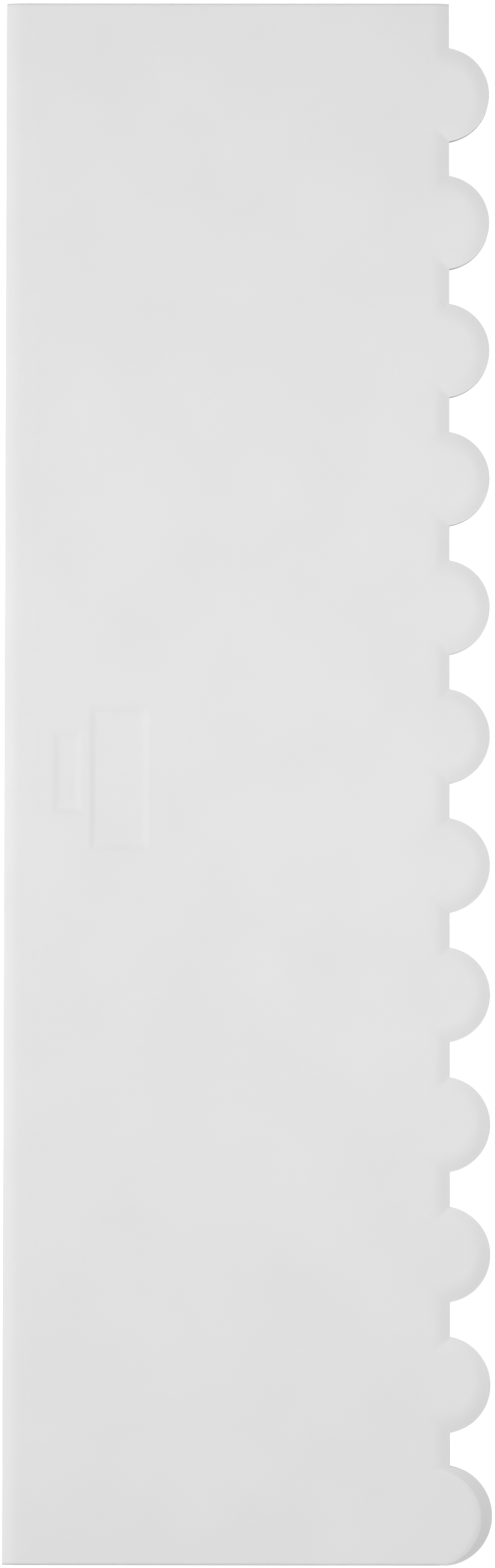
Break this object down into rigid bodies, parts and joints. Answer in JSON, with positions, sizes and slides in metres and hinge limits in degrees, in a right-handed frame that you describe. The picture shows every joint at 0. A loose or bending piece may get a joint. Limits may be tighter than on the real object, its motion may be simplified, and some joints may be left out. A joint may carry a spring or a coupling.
{
  "type": "icing smoother",
  "caption": "Flat one-piece icing smoother with a straight bevelled edge on one side and a scalloped bevelled edge on the other.",
  "frame": {"origin": "centre of the bounding box, on the flat back face", "axes": "+Z points out of the front face, +Y from the foot end to the head end, +X from the straight edge to the scalloped edge"},
  "size_m": [0.0792, 0.254, 0.002],
  "materials": {
    "white_plastic": "fine matte moulded"
  },
  "bodies": {
    "root": {"smoother_blade": "white_plastic"}
  },
  "joints": []
}
